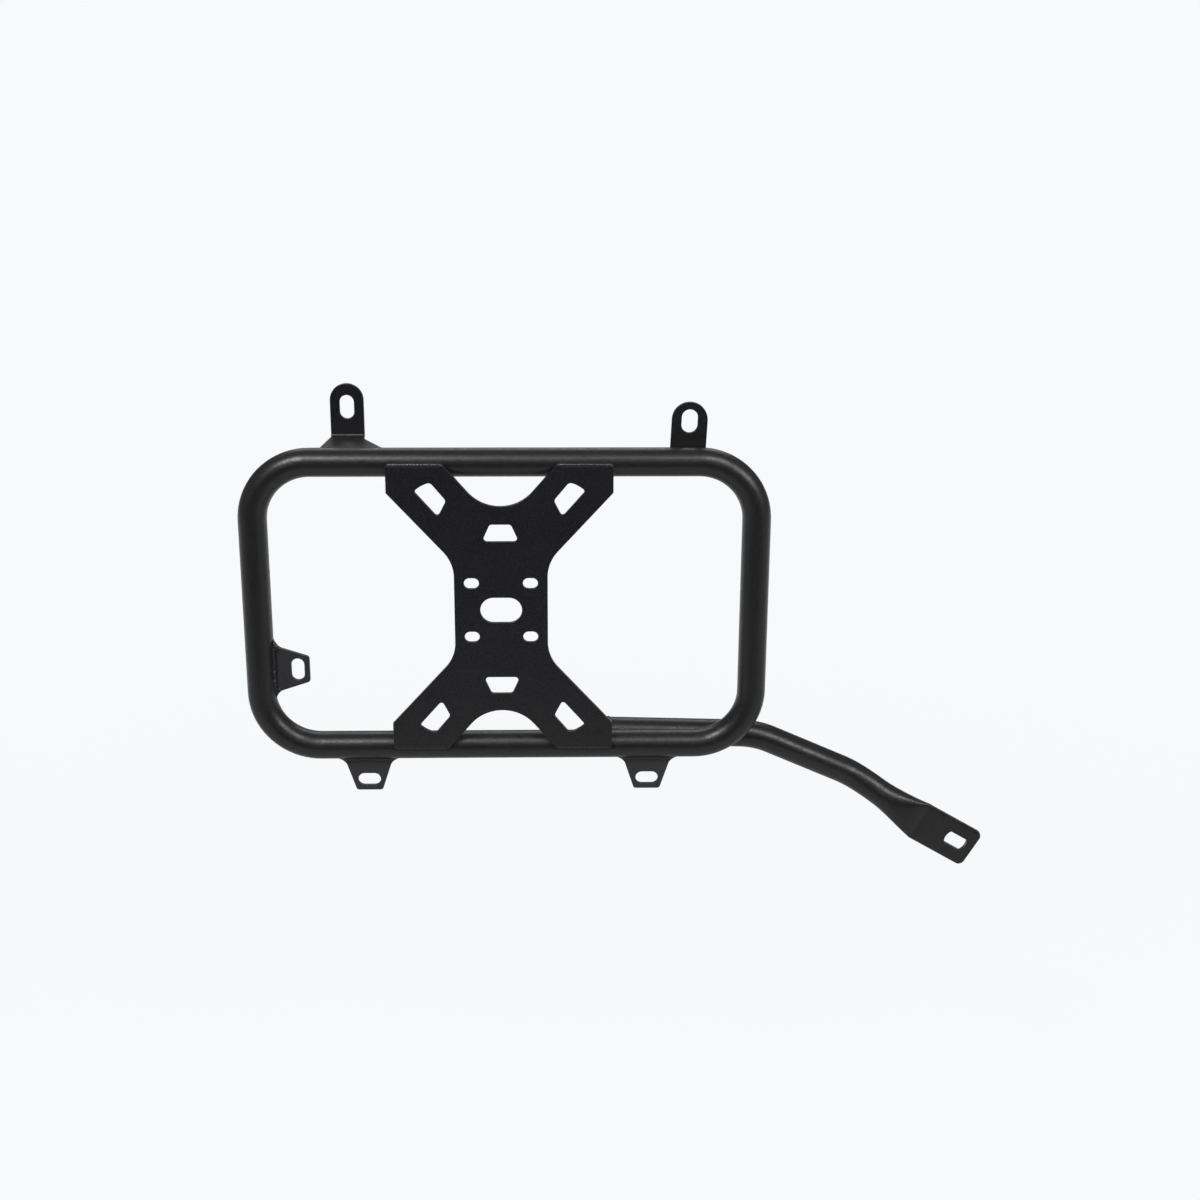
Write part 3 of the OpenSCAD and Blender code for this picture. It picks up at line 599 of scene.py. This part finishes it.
# the arm lies on the rail from start to corner, droops a little, bends down and slightly inboard, runs
# straight for leg, and steps outboard by set while it is pressed flat; late and full are the shares of
# that length where the pressing begins and ends
arm = {"wall": 2.0, "start": 80.0, "corner": 199.6, "rise": 2.3, "droop": 1.6, "bend": 25.2,
       "turn": 15.4, "bendRadius": 60.0, "leg": 80.0, "press": 80.0, "late": 0.46, "full": 0.94,
       "set": 18.7, "drop": 1.3, "slope": 30.3, "flat": 46.5, "flatThick": 4.0, "corners": 5.5,
       "edgeTrim": 0.15, "cornerTrim": 0.1, "cutFrom": 5.0, "cutPast": 20.0, "cutDeep": 9.0,
       "slotWide": 11.0, "slotLong": 19.0, "slotIn": 16.1}


def turnAboutY(v, degrees):
    return Matrix.Rotation(math.radians(degrees), 3, "Y") @ v


def turnAboutX(v, degrees):
    return Matrix.Rotation(math.radians(degrees), 3, "X") @ v


tubeAcross = 2 * tube
armEnd = hoopCentre + Vector((arm["start"], math.sqrt(tubeAcross ** 2 - arm["rise"] ** 2),
                              -railUp + arm["rise"]))  # the arm's tube touches the rail's
armAlong = turnAboutY(axisX, arm["droop"])
armFirst = (arm["corner"] - arm["start"]) / math.cos(math.radians(arm["droop"]))
legAlong = turnAboutY(turnAboutX(turnAboutY(axisX, arm["bend"]), arm["turn"]), arm["droop"])
armCorner = armEnd + armAlong * armFirst
pressedWidth = math.pi * (tubeAcross - arm["wall"]) / 2 + arm["wall"]  # half the tube's girth, and one wall
slope = math.radians(arm["slope"])
flatAlong = Vector((math.cos(slope), 0, -math.sin(slope)))
flatUp = Vector((math.sin(slope), 0, math.cos(slope)))
pressFrom = armCorner + legAlong * arm["leg"]
pressTo = pressFrom + flatAlong * arm["press"] - flatUp * arm["drop"] - axisY * arm["set"]


def armStations():
    # (place, direction, how far pressed) along the arm
    cut = arm["bendRadius"] * math.tan(math.radians(arm["bend"]) / 2)
    stations = [(armEnd + armAlong * (armFirst - cut) * k / 6, armAlong, 0.0) for k in range(6)]
    inner = (legAlong - armAlong * legAlong.dot(armAlong)).normalized()
    for k in range(25):
        t = math.radians(arm["bend"]) * k / 24
        place = armCorner - armAlong * cut + armAlong * arm["bendRadius"] * math.sin(t)
        place += inner * arm["bendRadius"] * (1 - math.cos(t))
        stations.append((place, armAlong * math.cos(t) + inner * math.sin(t), 0.0))
    for k in range(1, 7):
        stations.append((armCorner + legAlong * (cut + (arm["leg"] - cut) * k / 7), legAlong, 0.0))
    a = pressFrom + legAlong * arm["press"] / 3
    b = pressTo - flatAlong * arm["press"] / 3
    for k in range(73):  # the press: a smooth bend from the leg to the flat
        t = k / 72
        q = min(1, max(0, (t - arm["late"]) / (arm["full"] - arm["late"])))
        place = (pressFrom * (1 - t) ** 3 + a * 3 * t * (1 - t) ** 2 + b * 3 * t * t * (1 - t)
                 + pressTo * t ** 3)
        along = (legAlong * (1 - t) + flatAlong * t).normalized()
        stations.append((place, along, q ** 1.5))
    for k in range(1, 13):
        stations.append((pressTo + flatAlong * arm["flat"] * k / 12, flatAlong, 1.0))
    return stations


def sectionPoints(pressed, sides=64):
    # outline of the tube's section: round at 0, pressed to a flat with round edges at 1
    wide = pressedWidth / 2 - arm["edgeTrim"]  # the edges round off a little inside the full width
    thin = arm["flatThick"] / 2
    points = []
    for k in range(sides):
        t = 2 * math.pi * (k + 0.5) / sides
        c, s = math.cos(t), math.sin(t)
        power = 2 + 5 * pressed ** 1.5  # 2 is an ellipse, 7 nearly a rectangle
        size = (abs(c) ** power + abs(s) ** power) ** (-1 / power)
        w = tube + (wide - tube) * pressed
        h = tube + (thin - tube) * pressed
        points.append((w * c * size, h * s * size))
    return points


def armSlotLoop():
    # two straight sides, and ends that lie on one circle
    radius = arm["slotLong"] / 2
    first = math.asin(arm["slotWide"] / 2 / radius)
    loop = []
    for turn in [-first + 2 * first * k / 12 for k in range(13)]:
        loop.append(Vector((radius * math.cos(turn), radius * math.sin(turn))))
    loop += [-p for p in loop]
    return [p + Vector((arm["flat"] - arm["slotIn"], 0)) for p in loop]


def armEndLoop():
    # all that lies outside the flat's rounded corners
    near, wide = arm["cutFrom"], pressedWidth
    half = wide / 2 - arm["cornerTrim"]
    kept = roundedLoop([(near, -wide / 2 - 1, 0), (arm["flat"], -half, arm["corners"]),
                        (arm["flat"], half, arm["corners"]), (near, wide / 2 + 1, 0)])
    beyond = arm["flat"] + arm["cutPast"]
    return kept + [Vector((near, wide)), Vector((beyond, wide)), Vector((beyond, -wide)),
                   Vector((near, -wide))]


def cutThrough(piece, name, loop, seat):
    deep = arm["cutDeep"]
    cutter = bmesh.new()
    low = [cutter.verts.new(seat @ Vector((p.x, p.y, -deep))) for p in loop]
    high = [cutter.verts.new(seat @ Vector((p.x, p.y, deep))) for p in loop]
    for j in range(len(loop)):
        k = (j + 1) % len(loop)
        cutter.faces.new((low[j], low[k], high[k], high[j]))
    cutter.faces.new(low[::-1])
    cutter.faces.new(high)
    helper = bpy.data.objects.new(name, meshFromBmesh(name, cutter))
    bpy.context.collection.objects.link(helper)
    modifier = piece.modifiers.new(name, "BOOLEAN")
    modifier.operation = "DIFFERENCE"
    modifier.solver = "EXACT"
    modifier.object = helper
    bpy.context.view_layer.update()
    evaluated = piece.evaluated_get(bpy.context.evaluated_depsgraph_get())
    cutMesh = bpy.data.meshes.new_from_object(evaluated)
    piece.modifiers.clear()
    piece.data = cutMesh
    bpy.data.objects.remove(helper)


def makeArm():
    rings = []
    for place, along, pressed in armStations():
        upHere = (flatUp - along * flatUp.dot(along)).normalized()
        side = along.cross(upHere).normalized()
        rings.append([place + upHere * w + side * h for w, h in sectionPoints(pressed)])
    bm = bmesh.new()
    skinRings(bm, rings)
    mesh = meshFromBmesh("SupportArm", bm, 50)
    piece = newPiece("SupportArm", mesh, "arm_coat", "support_arm")
    seat = Matrix.Translation(pressTo) @ Matrix((flatAlong, flatUp, axisY)).transposed().to_4x4()
    cutThrough(piece, "slotCutter", armSlotLoop(), seat)
    cutThrough(piece, "cornerCutter", armEndLoop(), seat)
    piece.data.materials.clear()
    piece.data.materials.append(finishes["arm_coat"])
    piece.data.polygons.foreach_set("use_smooth", [True] * len(piece.data.polygons))
    piece.data.set_sharp_from_angle(angle=math.radians(40))
    squareNormals(piece)


makeArm()
print("support arm")

# pitch is the length of one puddle of weld, and a hollow flare ends each bead of a tab
bead = {"radius": 2.4, "heavy": 3.2, "ring": 2.0, "pitch": 2.6, "fade": 2.2, "uneven": (0.93, 1.05),
        "ripple": 0.13, "rippleShape": 0.55, "footOut": 0.3, "lowFootOut": 1.2, "lowFootSize": 0.8,
        "tabPast": 2.0, "tabOut": 0.8, "tabUp": 0.4, "flare": 7.5, "flareThick": 4.4, "flareEdge": 1.1,
        "lump": 2.4, "lumpPitch": 0.8}


def beadRings(path, radius, pitch, seed, closed=False, sides=14):
    # a run of small overlapping puddles along a path, as rings of points
    shake = random.Random(seed)
    lengths = [0.0]
    points = path + [path[0]] if closed else path
    for a, b in zip(points, points[1:]):
        lengths.append(lengths[-1] + (b - a).length)
    total = lengths[-1]
    count = max(8, int(total / pitch * 6))
    ripples = [shake.uniform(*bead["uneven"]) for _ in range(int(total / pitch) + 3)]
    rings = []
    side = None
    for i in range(count if closed else count + 1):
        s = total * i / count
        k = max(j for j in range(len(lengths)) if lengths[j] <= s + 1e-9)
        k = min(k, len(points) - 2)
        span = lengths[k + 1] - lengths[k]
        at = points[k].lerp(points[k + 1], (s - lengths[k]) / span if span else 0)
        along = (points[k + 1] - points[k]).normalized()
        if side is None:
            side = along.orthogonal().normalized()
        side = (side - along * side.dot(along)).normalized()
        up = along.cross(side)
        phase = s / pitch
        bump = (phase % 1.0) ** bead["rippleShape"]
        grow = ripples[int(phase)] * (1 - bead["ripple"] + bead["ripple"] * bump)
        if not closed:
            near = min(s, total - s)
            fade = radius * bead["fade"]
            if near < fade:
                grow *= math.sqrt(max(0.02, 1 - (1 - near / fade) ** 2))  # round ends
        rings.append([at + (side * math.cos(t) + up * math.sin(t)) * radius * grow
                      for t in [2 * math.pi * j / sides for j in range(sides)]])
    return rings


def makeBead(nodeName, path, radius, seed, closed=False):
    bm = bmesh.new()
    skinRings(bm, beadRings(path, radius, bead["pitch"], seed, closed), closed)
    name = pieceName(nodeName)
    newPiece(name, meshFromBmesh(name, bm, 60), "weld_coat", nodeName)


def straight(a, b, steps=8):
    return [Vector(a).lerp(Vector(b), k / steps) for k in range(steps + 1)]


footLong = (plate["width"] - plate["veeWidth"]) / 2
footMiddle = (plate["width"] + plate["veeWidth"]) / 4
plateEdge = (hoop["height"] - plate["short"]) / 2
for name, sideX, sideZ in (("plate_weld_top_rear", -1, 1), ("plate_weld_top_front", 1, 1),
                           ("plate_weld_bottom_rear", -1, -1), ("plate_weld_bottom_front", 1, -1)):
    reach = footLong / 2
    y = plate["thick"] / 2 + (bead["footOut"] if sideZ > 0 else bead["lowFootOut"])
    middle = Vector((sideX * footMiddle, y, sideZ * plateEdge))
    path = straight(middle - axisX * reach, middle + axisX * reach)
    size = 1 if sideZ > 0 else bead["lowFootSize"]
    makeBead(name, path, bead["radius"] * size, 10 + sideX + 3 * sideZ)


def makeTabWeld(nodeName, matrix, seed):
    # a bead along each face of the tab's root, and a hollow flare at each end that runs out onto the tube
    half = tab["tip"] / 2 + tab["flare"] * tab["reach"]
    y = tab["thick"] / 2
    z = -math.sqrt(tube ** 2 - y ** 2)
    bm = bmesh.new()
    for side in (-1, 1):
        ends = half + bead["tabPast"]
        out, height = side * (y + bead["tabOut"]), z + bead["tabUp"]
        path = straight((-ends, out, height), (ends, out, height), 12)
        skinRings(bm, beadRings(path, bead["radius"], bead["pitch"], seed + side))
        reach = bead["flare"]
        inward = tab["flare"] * reach  # the tab's side leans in by this much over the flare's height
        corner = Vector((side * (half - 3), z + 2.5))  # hidden inside the tube
        foot = Vector((side * (half + reach), z + 0.3))
        rise = Vector((side * (half - inward * 0.7), -tube - reach * 0.7))
        knee = Vector((side * (half + 0.6), -tube - 0.9))
        hollow = []
        for k in range(13):
            t = k / 12
            hollow.append(foot * (1 - t) ** 2 + knee * 2 * t * (1 - t) + rise * t * t)
        loop = [corner, Vector((foot.x, corner.y))] + hollow + [Vector((rise.x - side * 2, rise.y))]
        flare = sheetBmesh(loop, [], bead["flareThick"], bead["flareEdge"])
        placed(flare, standUp(0))
        extra = bpy.data.meshes.new("flare")
        flare.to_mesh(extra)
        flare.free()
        bm.from_mesh(extra)
        bpy.data.meshes.remove(extra)
    if nodeName == "side_tab_weld":  # a rough lump where the welder stopped
        path = straight((half + 4, -y - 0.9, z - 0.5), (half - 4, -y - 0.9, z - 2.6), 6)
        skinRings(bm, beadRings(path, bead["lump"], bead["pitch"] * bead["lumpPitch"], seed + 3))
    placed(bm, matrix)
    name = pieceName(nodeName)
    newPiece(name, meshFromBmesh(name, bm, 50), "weld_coat", nodeName)


for index, (nodeName, matrix) in enumerate(tabPlaces.items()):
    makeTabWeld(nodeName + "_weld", matrix, 40 + index * 5)

rearBase = hoopCentre + Vector((-rear["back"], 0, railUp + rear["up"]))
beadY = math.sqrt(tube ** 2 - rear["up"] ** 2)  # where the flange's height meets the tube
rearLeft = -rear["tabWide"] / 2 - rear["spread"]
under = -bead["radius"] / 2
path = straight(rearBase + Vector((rearLeft, beadY, under)),
                rearBase + Vector((rear["point"] - 2, beadY, under)), 20)
makeBead("rear_bracket_weld", path, bead["radius"], 61)

for name, side in (("front_bracket_weld_rear", -1), ("front_bracket_weld_front", 1)):
    centre = Vector((side * (front["wide"] / 2 + bead["heavy"] * 0.6), -tube, 0))
    path = arcPoints(centre, tube, -12, 46, 16, axisY, axisZ)  # degrees round the rail
    makeBead(name, [frontPlace @ p for p in path], bead["heavy"], 70 + side)
reach = front["wide"] / 2 - bead["radius"]
path = straight((-reach, 1, -front["down"]), (reach, 1, -front["down"]))
makeBead("front_bracket_weld_foot", [frontPlace @ p for p in path], bead["radius"], 75)

ringRadius = tube - bead["ring"] * 0.65
ringUp = armAlong.cross(axisY).normalized()
circle = arcPoints(armEnd, ringRadius, 0, 360, 48, axisY, ringUp)[:-1]
makeBead("arm_end_weld", circle, bead["ring"], 81, closed=True)
groove = bead["heavy"] * 1.2  # fills the valley between the two tubes
valley = Vector((arm["start"] + bead["heavy"] * 1.4, (armEnd.y - hoopCentre.y) / 2,
                 -railUp + arm["rise"] / 2 + tube * 0.3)) + hoopCentre
path = straight(valley - axisX * 2, valley + axisX * (tubeAcross * 0.6 + groove))
makeBead("arm_rail_weld", path, groove, 85)
nook = hoopCentre + Vector((hoop["width"] / 2 - hoop["bendRadius"] + tube * 0.6, tube, -railUp + tube * 0.5))
makeBead("arm_corner_weld", straight(nook, nook + axisX * tube), bead["heavy"], 88)
print("weld beads")
